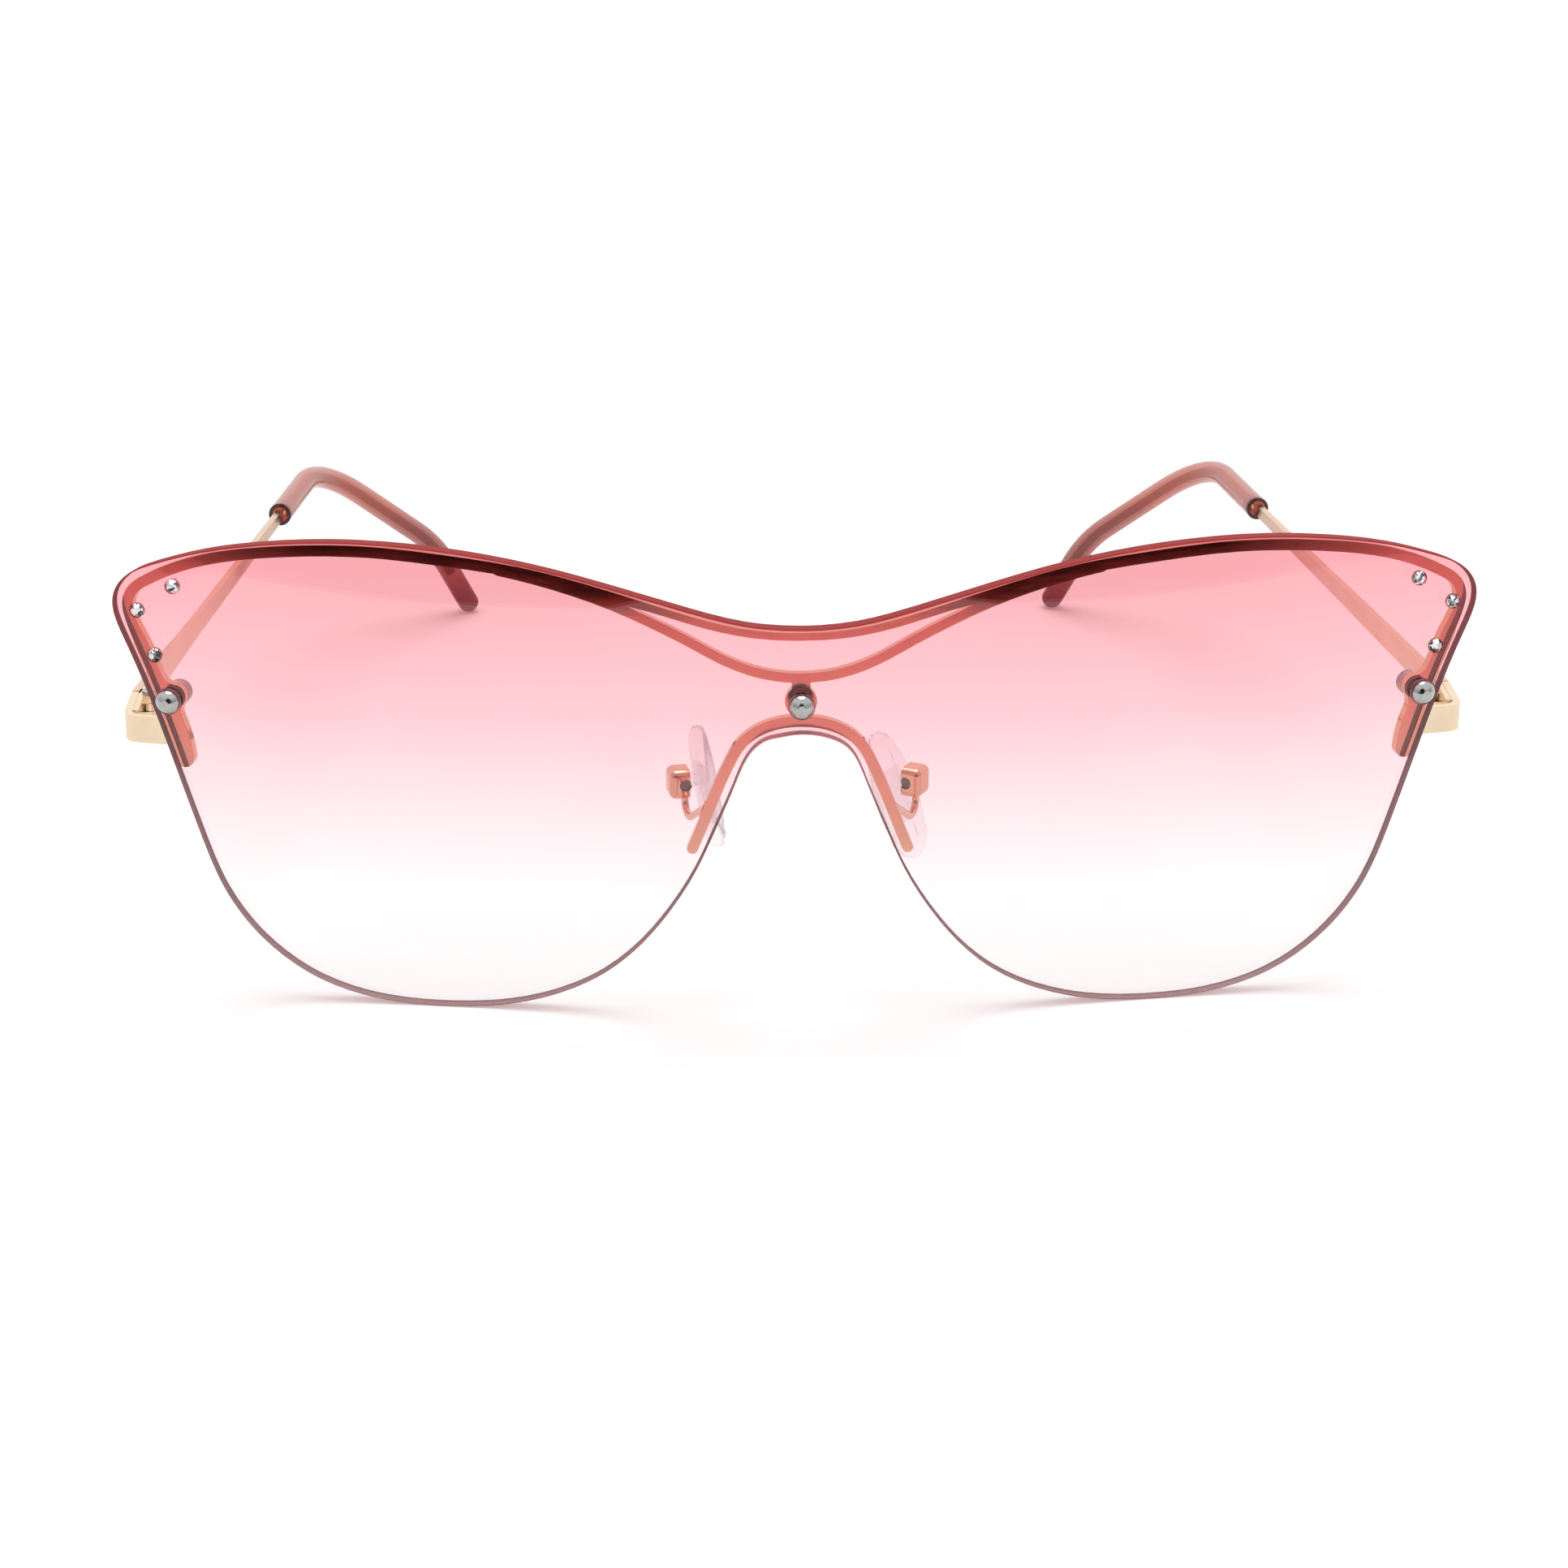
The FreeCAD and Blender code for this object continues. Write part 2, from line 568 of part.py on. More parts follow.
def temple_arm():
    """Flat strip that tapers to the sleeve and runs on inside it as a round core."""
    butt = temple_line(BUTT_GAP / 2)
    end = temple_line(SLEEVE_START + SLEEVE_STRIP_ENTRY)
    side = Vector(-STRAP_THICKNESS / 2, 0, 0)
    butt_half = UPWARD * (TEMPLE_BUTT_HEIGHT / 2)
    end_half = UPWARD * (TEMPLE_END_HEIGHT / 2)
    corners = [butt - butt_half, end - end_half, end + end_half, butt + butt_half, butt - butt_half]
    outline = Part.makePolygon([corner + side for corner in corners])
    strip = Part.Face(outline).extrude(Vector(STRAP_THICKNESS, 0, 0))
    core_start = temple_line(SLEEVE_START + SLEEVE_STRIP_ENTRY / 2)
    core = tube([core_start, BEND, HOOK, CORE_END], PATH_RADII, CORE_RADIUS)
    return strip.fuse(core).removeSplitter()


def tip_sleeve():
    """Plastic sleeve with a round closed tip, bored for the core and opened for the strip."""
    start = temple_line(SLEEVE_START)
    skin = tube([start, BEND, HOOK, TIP], PATH_RADII, SLEEVE_RADIUS)
    skin = skin.fuse(Part.makeSphere(SLEEVE_RADIUS, TIP, TIP - HOOK)).removeSplitter()
    bore = tube([start, BEND, HOOK, CORE_END], PATH_RADII, CORE_RADIUS + ASSEMBLY_CLEARANCE)
    mouth = Part.makeCylinder(SLEEVE_MOUTH_RADIUS, SLEEVE_MOUTH_DEPTH, start, BEND - start)
    return skin.cut([bore, mouth])


def at_rest(shape, side):
    """A temple piece turned in from fully open to the rest pose."""
    turned = shape.copy()
    turned.rotate(Vector(HINGE_X, HINGE_Y, 0), UPWARD, REST_FOLD_ANGLE)
    return handed(turned, side)


# Nose pads, made about the pad screw: X outwards, Y back along the screw, Z up

PAD_SCREW_HEIGHT = LENS_HEIGHT * PAD_SCREW_HEIGHT_SHARE
PAD_SCREW_DEPTH = sphere_depth(PAD_SCREW_SPACING / 2, PAD_SCREW_HEIGHT, FRAME_BACK) + PAD_STANDOFF
PAD_SCREW_PLACE = Vector(PAD_SCREW_SPACING / 2, PAD_SCREW_DEPTH, PAD_SCREW_HEIGHT)
BOX_CAVITY = LUG_RADIUS + BOX_CLEARANCE
BOX_BACK = BOX_CAVITY + BOX_WALL
SLOT_WIDTH = LUG_THICKNESS + 2 * BOX_CLEARANCE
PAD_SCREW_FRONT = PAD_SCREW_RECESS - BOX_WIDTH / 2
PAD_SCREW_SHOULDER = PAD_SCREW_FRONT + PAD_SCREW_HEAD_HEIGHT


def pad_seat(side):
    return FreeCAD.Placement(PAD_SCREW_PLACE, FreeCAD.Rotation(UPWARD, -PAD_YAW_ANGLES[side]))


def cross_rod(radius, front, back):
    """Cylinder along the pad screw between two depths."""
    return Part.makeCylinder(radius, back - front, BACKWARD * front, BACKWARD)


def pad_box():
    """Rounded cup, open towards the pad, with a recessed screw hole."""
    box = block(Vector(-BOX_MOUTH, -BOX_WIDTH / 2, -BOX_HEIGHT / 2),
                Vector(BOX_BACK, BOX_WIDTH / 2, BOX_HEIGHT / 2))
    rounded = [edge for edge in box.Edges if edge.BoundBox.XMax > 0]
    box = box.makeFillet(BOX_EDGE_ROUND, rounded)
    slot_half = SLOT_WIDTH / 2
    slot = block(Vector(-BOX_MOUTH - CUT_OVERRUN, -slot_half, -BOX_CAVITY),
                 Vector(0, slot_half, BOX_CAVITY))
    recess = cross_rod(PAD_SCREW_HEAD_RADIUS + ASSEMBLY_CLEARANCE, -BOX_WIDTH, PAD_SCREW_SHOULDER)
    shank = cross_rod(PAD_SCREW_RADIUS + ASSEMBLY_CLEARANCE, -BOX_WIDTH, BOX_WIDTH)
    return box.cut([slot, cross_rod(BOX_CAVITY, -slot_half, slot_half), recess, shank])


def pad_screw():
    shank = cross_rod(PAD_SCREW_RADIUS, PAD_SCREW_FRONT, BOX_WIDTH / 2)
    head = cross_rod(PAD_SCREW_HEAD_RADIUS, PAD_SCREW_FRONT, PAD_SCREW_SHOULDER)
    return shank.fuse(head).removeSplitter()


def pad_lug():
    """Round lug on the screw, a neck, and the base plate that the pad is moulded round."""
    half = LUG_THICKNESS / 2
    eye = cross_rod(LUG_RADIUS, -half, half)
    sink = -PAD_OFFSET - LUG_BASE_SINK
    neck = block(Vector(sink, -half, -LUG_NECK_HEIGHT / 2), Vector(0, half, LUG_NECK_HEIGHT / 2))
    base_half = Vector(0, LUG_BASE_WIDTH / 2, LUG_BASE_HEIGHT / 2)
    base_foot = Vector(sink - LUG_BASE_THICKNESS, 0, -PAD_DROP)
    base = block(base_foot - base_half, Vector(sink, 0, -PAD_DROP) + base_half)
    lug = eye.fuse([neck, base]).removeSplitter()
    return lug.cut(cross_rod(PAD_SCREW_RADIUS + PAD_RUNNING_CLEARANCE, -BOX_WIDTH, BOX_WIDTH))


def nose_pad():
    """Soft oval pad, moulded round the lug's base."""
    half = [(across * PAD_WIDTH / 2, height * PAD_HEIGHT / 2) for across, height in PAD_OUTLINE_SHARES]
    ring = half + [(-across, height) for across, height in half[-2:0:-1]]
    points = [Vector(-PAD_OFFSET, across, height - PAD_DROP) for across, height in ring]
    face = Part.Face(Part.Wire(spline(points, closed=True).toShape()))
    pad = face.extrude(Vector(-PAD_THICKNESS, 0, 0))
    outlines = [edge for edge in pad.Edges if edge.BoundBox.XLength < PAD_THICKNESS / 2]
    return pad.makeFillet(PAD_EDGE_ROUND, outlines).cut(pad_lug())


def on_pad(shape, side, lean=0):
    """Puts a pad piece in its place, leaned about the pad screw."""
    turned = shape.copy()
    turned.rotate(ORIGIN, BACKWARD, -lean)
    return handed(turned.transformed(pad_seat(side).toMatrix()), side)


def pad_arm(side):
    """Bent wire from the back of the nose arch down and up to the box."""
    root = CENTRE + outward(ARM_ROOT_SHARES) * (FRAME_BACK + ARM_RADIUS)
    foot = pad_seat(side).multVec(Vector(ARM_FOOT_OFFSETS[side], 0, -BOX_HEIGHT / 2))
    wire = tube([root, foot - UPWARD * ARM_DIP, foot], [ARM_BEND_RADIUS], ARM_RADIUS)
    return handed(wire.common(ball(FRAME_BACK)), side)


def all_pieces():
    """Every piece by its node name, with the lens apex at Y = 0."""
    pieces = {"shield_lens": shield_lens(), "front_frame": front_frame()}
    for name, shares in SCREW_PLACES.items():
        pieces["lens_screw_" + name] = on_lens(lens_screw(), shares)
        pieces["screw_washer_" + name] = on_lens(screw_washer(), shares)
        pieces["lens_bush_" + name] = lens_bush(shares)
        pieces["cap_nut_" + name] = cap_nut(shares)
    for name, shares in stone_places().items():
        pieces["rhinestone_" + name] = on_lens(rhinestone(), shares)
    for side in ("left", "right"):
        pieces["end_piece_" + side] = handed(end_piece(), side)
        pieces["front_hinge_leaf_" + side] = handed(hinge_leaf((0, 2), -1, ASSEMBLY_CLEARANCE), side)
        pieces["hinge_screw_" + side] = handed(hinge_screw(), side)
        pieces["temple_hinge_leaf_" + side] = at_rest(hinge_leaf((1,), 1, HINGE_RUNNING_CLEARANCE), side)
        pieces["temple_arm_" + side] = at_rest(temple_arm(), side)
        pieces["tip_sleeve_" + side] = at_rest(tip_sleeve(), side)
        pieces["pad_arm_" + side] = pad_arm(side)
        pieces["pad_box_" + side] = on_pad(pad_box(), side)
        pieces["pad_screw_" + side] = on_pad(pad_screw(), side)
        pieces["pad_lug_" + side] = on_pad(pad_lug(), side, PAD_LEAN_ANGLES[side])
        pieces["nose_pad_" + side] = on_pad(nose_pad(), side, PAD_LEAN_ANGLES[side])
    return pieces


def depth_shift():
    """Move along Y that puts the origin midway between the screw heads and the temple tips."""
    head = LENS_RADIUS + WASHER_THICKNESS + SCREW_HEAD_HEIGHT
    front = (CENTRE + outward(CENTRE_SCREW_SHARES) * head).y
    tip = Part.Vertex(TIP)
    tip.rotate(Vector(HINGE_X, HINGE_Y, 0), UPWARD, REST_FOLD_ANGLE)
    return -(front + tip.Y + SLEEVE_RADIUS) / 2


def main():
    os.makedirs("parts", exist_ok=True)
    shift = Vector(0, depth_shift(), 0)
    for name, shape in all_pieces().items():
        shape.translated(shift).exportStep("parts/" + name + ".step")


if __name__ == "__main__":
    main()
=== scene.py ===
import math

import bmesh
import bpy
from mathutils import Matrix, Vector


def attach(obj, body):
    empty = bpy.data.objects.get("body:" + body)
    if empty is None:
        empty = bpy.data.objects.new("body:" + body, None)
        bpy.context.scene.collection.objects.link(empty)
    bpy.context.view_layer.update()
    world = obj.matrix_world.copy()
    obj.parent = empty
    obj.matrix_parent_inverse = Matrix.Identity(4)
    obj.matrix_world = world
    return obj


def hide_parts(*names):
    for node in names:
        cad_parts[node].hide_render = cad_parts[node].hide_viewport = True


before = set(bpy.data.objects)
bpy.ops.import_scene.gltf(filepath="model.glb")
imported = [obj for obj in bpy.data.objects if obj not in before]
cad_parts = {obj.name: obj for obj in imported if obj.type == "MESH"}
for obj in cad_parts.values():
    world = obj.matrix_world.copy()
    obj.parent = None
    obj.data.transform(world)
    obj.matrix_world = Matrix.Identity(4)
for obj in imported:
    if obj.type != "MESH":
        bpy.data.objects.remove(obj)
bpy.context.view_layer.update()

# Shield sunglasses on a white table, in metres. +X is the wearer's left, +Y runs back
# to the ears and +Z is up.

SIDES = ("left", "right")
SCREWS = ("centre", "left", "right")
STONES = ("top", "corner", "low")

# Camera, set to the view of the photograph
FRAME_PIXELS = 1932
FOCAL_PIXELS = 4880.5
SENSOR_WIDTH = 36.0
NEAREST_SEEN = 0.01
VIEW_TARGET = Vector((-0.001835, -0.070942, 0.026958))
VIEW_DISTANCE = 0.420
VIEW_TURN = math.radians(-2.121)
VIEW_RISE = math.radians(20.742)
VIEW_ROLL = math.radians(0.259)


def photographers_camera():
    """Camera at the height, turn and distance of the photograph."""
    back = Vector((math.sin(VIEW_TURN) * math.cos(VIEW_RISE),
                   -math.cos(VIEW_TURN) * math.cos(VIEW_RISE),
                   math.sin(VIEW_RISE)))
    level = Vector((0, 0, 1)).cross(back).normalized()
    upright = back.cross(level)
    right = level * math.cos(VIEW_ROLL) + upright * math.sin(VIEW_ROLL)
    up = back.cross(right)
    bpy.ops.object.camera_add()
    camera = bpy.context.object
    camera.name = "photo_camera"
    camera.data.sensor_width = SENSOR_WIDTH
    camera.data.lens = FOCAL_PIXELS / FRAME_PIXELS * SENSOR_WIDTH
    camera.data.clip_start = NEAREST_SEEN
    turn = Matrix((right, up, back)).transposed().to_4x4()
    camera.matrix_world = Matrix.Translation(VIEW_TARGET + back * VIEW_DISTANCE) @ turn
    bpy.context.scene.camera = camera


# Shader helpers

# Most of a noise value lies between these
NOISE_LOW = 0.3
NOISE_HIGH = 0.7


def add(tree, kind, **values):
    """New shader node with plain values on its own sockets."""
    made = tree.nodes.new("ShaderNode" + kind)
    for name, value in values.items():
        made.inputs[name.replace("_", " ")].default_value = value
    return made


def feed(tree, value, socket):
    """Gives a socket another node's output, a plain colour or a number."""
    if hasattr(value, "node"):
        tree.links.new(value, socket)
    elif isinstance(value, tuple):
        socket.default_value = (*value, 1)
    else:
        socket.default_value = value


def new_finish(name, **values):
    """Material with one Principled shader. Returns the material, its tree and the shader."""
    finish = bpy.data.materials.new(name)
    finish.use_nodes = True
    tree = finish.node_tree
    tree.nodes.clear()
    output = add(tree, "OutputMaterial")
    shader = add(tree, "BsdfPrincipled", **values)
    tree.links.new(shader.outputs["BSDF"], output.inputs["Surface"])
    return finish, tree, shader


def own_place(tree):
    """The piece's own coordinates: all of the node's outputs, and X, Y and Z apart."""
    place = add(tree, "TexCoord")
    parts = add(tree, "SeparateXYZ")
    tree.links.new(place.outputs["Object"], parts.inputs["Vector"])
    return place.outputs, parts.outputs


def grain(tree, scale, stretch=(1, 1, 1), detail=3.0):
    """Noise on the piece's own coordinates, squeezed across its marks."""
    place = add(tree, "TexCoord")
    squeeze = add(tree, "Mapping", Scale=stretch)
    noise = add(tree, "TexNoise", Scale=scale, Detail=detail)
    tree.links.new(place.outputs["Object"], squeeze.inputs["Vector"])
    tree.links.new(squeeze.outputs["Vector"], noise.inputs["Vector"])
    return noise.outputs["Fac"]


def spread(tree, value, low, high, start=NOISE_LOW, end=NOISE_HIGH):
    """Maps a value that runs from start to end onto low to high."""
    mapped = add(tree, "MapRange", From_Min=start, From_Max=end, To_Min=low, To_Max=high)
    tree.links.new(value, mapped.inputs["Value"])
    return mapped.outputs["Result"]


def tones(tree, value, stops):
    """Colour ramp with (place, colour) stops."""
    ramp = add(tree, "ValToRGB")
    marks = ramp.color_ramp.elements
    for index, (place, colour) in enumerate(stops):
        mark = marks[index] if index < 2 else marks.new(place)
        mark.position = place
        mark.color = (*colour, 1)
    tree.links.new(value, ramp.inputs["Fac"])
    return ramp.outputs["Color"]


def clouded(tree, noise, dark, light):
    """Two shades of one colour, spread over a noise."""
    return tones(tree, noise, [(NOISE_LOW, dark), (NOISE_HIGH, light)])


def joined(tree, operation, first, second=0):
    """Math on two sockets, or on a socket and a number."""
    made = add(tree, "Math")
    made.operation = operation
    for socket, value in zip(made.inputs, (first, second)):
        feed(tree, value, socket)
    return made.outputs["Value"]


def arrows(tree, operation, first, second=None):
    """Vector math on a socket and, where needed, on another socket or a plain point."""
    made = add(tree, "VectorMath")
    made.operation = operation
    tree.links.new(first, made.inputs[0])
    if hasattr(second, "node"):
        tree.links.new(second, made.inputs[1])
    elif second:
        made.inputs[1].default_value = second
    return made.outputs


def blended(tree, factor, first, second):
    """Mix of two numbers or sockets."""
    made = add(tree, "Mix")
    for name, value in (("Factor", factor), ("A", first), ("B", second)):
        feed(tree, value, made.inputs[name])
    return made.outputs["Result"]


def blended_colour(tree, factor, first, second):
    """Mix of two colours, each a socket or a plain colour."""
    made = add(tree, "Mix")
    made.data_type = "RGBA"
    feed(tree, factor, made.inputs["Factor"])
    slots = [socket for socket in made.inputs if socket.type == "RGBA"]
    for socket, value in zip(slots, (first, second)):
        feed(tree, value, socket)
    return next(socket for socket in made.outputs if socket.type == "RGBA")


def dents(tree, shader, height, strength, depth):
    """Fine relief on the shader's normal."""
    bump = add(tree, "Bump", Strength=strength, Distance=depth)
    tree.links.new(height, bump.inputs["Height"])
    tree.links.new(bump.outputs["Normal"], shader.inputs["Normal"])


def lets_lamps_through(finish, tree, shader, colour):
    """Lamps shine through a clear piece and tint its shadow."""
    clear = add(tree, "BsdfTransparent")
    feed(tree, colour, clear.inputs["Color"])
    path = add(tree, "LightPath")
    mix = add(tree, "MixShader")
    output = tree.get_output_node("ALL")
    tree.links.new(path.outputs["Is Shadow Ray"], mix.inputs["Fac"])
    tree.links.new(shader.outputs["BSDF"], mix.inputs[1])
    tree.links.new(clear.outputs["BSDF"], mix.inputs[2])
    tree.links.new(mix.outputs["Shader"], output.inputs["Surface"])
    return finish


# Finishes

# The lens is a sheet cut from a ball with this middle, and it stands on the table
LENS_BALL_MIDDLE = (0, 0.219058, 0.025)
LENS_HEIGHT = 0.0523
LENS_BEND = 1.58
LENS_GLOSS = 0.06

# Colours of the lens and of its edge, by share of the lens height
LENS_TINT = [(0.0, (1.0, 1.0, 1.0)), (0.27, (1.0, 0.99, 0.995)), (0.42, (1.0, 0.84, 0.875)),
             (0.64, (1.0, 0.61, 0.655)), (0.94, (1.0, 0.43, 0.475))]
LENS_RIM = [(0.0, (0.25, 0.055, 0.06)), (0.15, (0.36, 0.13, 0.14)), (0.3, (0.335, 0.105, 0.12)),
            (0.6, (0.31, 0.085, 0.10)), (0.85, (0.42, 0.03, 0.03))]
TINT_CLOUDS = 60.0
TINT_DRIFT = 0.0006
EDGE_FACING = (0.8, 0.92)
EDGE_ROUGHNESS = 0.6
EDGE_CLEAR = 0.25

# The rim is painted paler over the nose, as painted light where that edge gets less light, out to
# these distances and up to these heights
NOSE_RIM_PAINTED_LIGHT = (0.9, 0.45, 0.5)
NOSE_RIM_REACH = (0.0045, 0.009)
NOSE_RIM_TOP = (0.66, 0.74)

# Brushing along the frame and along the temples
ALONG_X = (0.12, 1, 1)
ALONG_Y = (1, 0.12, 1)

# Depths of relief
FINE_RELIEF = 0.00002
RELIEF = 0.00003

# How far clear plastic bends light, and how little soft clear pads do
PLASTIC_BEND = 1.49
PAD_BEND = 1.1

# Stone facets: the size of their cells, and the painted reflections, dark to bright, that stand in
# for their flashes, by share of the cell value
STONE_FACETS = 2900.0
STONE_PAINTED_FLASHES = [(0.25, (0.03, 0.03, 0.035)), (0.45, (0.42, 0.42, 0.44)), (0.6, (0.95, 0.95, 0.97))]

# Tip sleeves: where they start, how far the painted shade at their mouths reaches, and their
# colours by share of their height, painted darker towards the table as shade
SLEEVE_MOUTH = (0.0294, 0.0301)
SLEEVE_MOUTH_SHADE = (0.07, 0.025, 0.025)
SLEEVE_HEIGHT = 0.028
SLEEVE_TINT_AND_SHADE = [(0.0, (0.24, 0.05, 0.055)), (0.35, (0.50, 0.17, 0.155)),
               (0.7, (0.74, 0.29, 0.235)), (1.0, (0.80, 0.35, 0.29))]
SLEEVE_DRIFT = 0.002
SLEEVE_CLEAR = 0.75


def lens_edge(tree, place):
    """1 where the lens surface stands across the ball's radius, which is its edge."""
    radius = arrows(tree, "SUBTRACT", place["Object"], LENS_BALL_MIDDLE)["Vector"]
    way = arrows(tree, "NORMALIZE", radius)["Vector"]
    facing = arrows(tree, "DOT_PRODUCT", way, place["Normal"])["Value"]
    return spread(tree, joined(tree, "ABSOLUTE", facing), 1.0, 0.0, *EDGE_FACING)


def tinted_lens():
    """Polished lens, rose at the brow and clear at the cheek, with a ground mauve edge."""
    finish, tree, shader = new_finish("tinted_lens", IOR=LENS_BEND, Specular_IOR_Level=LENS_GLOSS)
    place, spot = own_place(tree)
    cloud = spread(tree, grain(tree, TINT_CLOUDS), -TINT_DRIFT, TINT_DRIFT)
    level = spread(tree, joined(tree, "ADD", spot["Z"], cloud), 0.0, 1.0, 0.0, LENS_HEIGHT)
    # Painted light: the rim over the nose is lightened
    nose_light = spread(tree, joined(tree, "ABSOLUTE", spot["X"]), 1.0, 0.0, *NOSE_RIM_REACH)
    nose_light = joined(tree, "MULTIPLY", nose_light, spread(tree, level, 1.0, 0.0, *NOSE_RIM_TOP))
    rim = blended_colour(tree, nose_light, tones(tree, level, LENS_RIM), NOSE_RIM_PAINTED_LIGHT)
    edge = lens_edge(tree, place)
    colour = blended_colour(tree, edge, tones(tree, level, LENS_TINT), rim)
    roughness = spread(tree, edge, 0.0, EDGE_ROUGHNESS, 0.0, 1.0)
    clear = spread(tree, edge, 1.0, EDGE_CLEAR, 0.0, 1.0)
    tree.links.new(colour, shader.inputs["Base Color"])
    tree.links.new(roughness, shader.inputs["Roughness"])
    tree.links.new(clear, shader.inputs["Transmission Weight"])
    return lets_lamps_through(finish, tree, shader, colour)


def gold_plate(name, dark, light, roughness, brushing):
    """Plated metal, brushed along its length, with tiny rubbed spots."""
    finish, tree, shader = new_finish(name, Metallic=1.0)
    lines = grain(tree, scale=900.0, stretch=brushing, detail=4.0)
    shade = clouded(tree, grain(tree, scale=220.0), dark, light)
    tree.links.new(shade, shader.inputs["Base Color"])
    tree.links.new(spread(tree, lines, *roughness), shader.inputs["Roughness"])
    dents(tree, shader, lines, strength=0.08, depth=RELIEF)
    return finish


def turned_steel(name, dark, light, roughness, marks, strength, depth):
    """Turned steel with faint tool marks."""
    finish, tree, shader = new_finish(name, Metallic=1.0)
    lines = grain(tree, marks)
    tree.links.new(clouded(tree, lines, dark, light), shader.inputs["Base Color"])
    tree.links.new(spread(tree, lines, *roughness), shader.inputs["Roughness"])
    dents(tree, shader, lines, strength, depth)
    return finish


def polished_steel():
    """Bright lens screws and hinge screws."""
    return turned_steel("polished_steel", dark=(0.45, 0.45, 0.44), light=(0.55, 0.55, 0.535),
                        roughness=(0.08, 0.16), marks=1500.0, strength=0.04, depth=FINE_RELIEF)


def recess_shaded_steel():
    """Screws of the pad boxes, painted dark as the shade of their recesses, lighter in spots."""
    return turned_steel("recess_shaded_steel", dark=(0.10, 0.06, 0.05), light=(0.20, 0.125, 0.10),
                        roughness=(0.22, 0.36), marks=2200.0, strength=0.06, depth=RELIEF)


def clear_plastic(name, dark, light, clear, bend=PLASTIC_BEND):
    """Turned clear plastic, a little cloudy."""
    finish, tree, shader = new_finish(name, IOR=bend, Transmission_Weight=clear)
    cloud = grain(tree, scale=500.0)
    tint = clouded(tree, cloud, dark, light)
    tree.links.new(tint, shader.inputs["Base Color"])
    tree.links.new(spread(tree, cloud, low=0.05, high=0.14), shader.inputs["Roughness"])
    dents(tree, shader, grain(tree, scale=1800.0), strength=0.03, depth=FINE_RELIEF)
    return lets_lamps_through(finish, tree, shader, tint)


def silicone():
    """Soft clear silicone of the nose pads, faintly milky."""
    finish, tree, shader = new_finish("silicone", IOR=PAD_BEND, Transmission_Weight=0.92)
    cloud = grain(tree, scale=260.0)
    tint = clouded(tree, cloud, dark=(0.965, 0.90, 0.905), light=(0.985, 0.94, 0.945))
    tree.links.new(tint, shader.inputs["Base Color"])
    tree.links.new(spread(tree, cloud, low=0.16, high=0.28), shader.inputs["Roughness"])
    dents(tree, shader, grain(tree, scale=1400.0), strength=0.02, depth=RELIEF)
    return lets_lamps_through(finish, tree, shader, tint)


def rose_plastic():
    """Dusty rose temple tip, half clear, so that the metal core shows, with painted shade at its
    mouth and towards the table.
    """
    finish, tree, shader = new_finish("rose_plastic", IOR=PLASTIC_BEND,
                                      Transmission_Weight=SLEEVE_CLEAR)
    spot = own_place(tree)[1]
    cloud = grain(tree, scale=160.0, stretch=(1, 0.35, 1))
    drifted = joined(tree, "ADD", spot["Z"], spread(tree, cloud, -SLEEVE_DRIFT, SLEEVE_DRIFT))
    # Painted shade: the rose darkens towards the table, by height
    tint = tones(tree, spread(tree, drifted, 0.0, 1.0, 0.0, SLEEVE_HEIGHT), SLEEVE_TINT_AND_SHADE)
    # Painted shade at the mouth, where the metal goes in
    mouth_shade = spread(tree, spot["Y"], 1.0, 0.0, *SLEEVE_MOUTH)
    tint = blended_colour(tree, mouth_shade, tint, SLEEVE_MOUTH_SHADE)
    tree.links.new(tint, shader.inputs["Base Color"])
    tree.links.new(spread(tree, cloud, low=0.10, high=0.2), shader.inputs["Roughness"])
    dents(tree, shader, grain(tree, scale=1200.0), strength=0.03, depth=RELIEF)
    return lets_lamps_through(finish, tree, shader, tint)


def foiled_stone():
    """Cut stone with a foiled back under a glassy top, whose light and dark flashes are painted
    reflections in its facet colours.
    """
    finish, tree, shader = new_finish("foiled_stone", Metallic=1.0, Coat_Weight=1.0,
                                      Coat_Roughness=0.02)
    facets = add(tree, "TexVoronoi", Scale=STONE_FACETS)
    tree.links.new(add(tree, "TexCoord").outputs["Object"], facets.inputs["Vector"])
    painted_flash = add(tree, "SeparateColor")
    tree.links.new(facets.outputs["Color"], painted_flash.inputs["Color"])
    # Painted reflection: each cell gets a dark, grey or bright colour for its flash
    shade = tones(tree, painted_flash.outputs["Red"], STONE_PAINTED_FLASHES)
    gloss = spread(tree, painted_flash.outputs["Green"], 0.04, 0.16, 0.0, 1.0)
    tree.links.new(shade, shader.inputs["Base Color"])
    tree.links.new(gloss, shader.inputs["Roughness"])
    return finish


def dress(finish, *names):
    """Gives a finish to carried-over pieces."""
    for name in names:
        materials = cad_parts[name].data.materials
        materials.clear()
        materials.append(finish)


def each(stem, places=SIDES):
    """Names of one kind of piece at all its places."""
    return [stem + "_" + place for place in places]


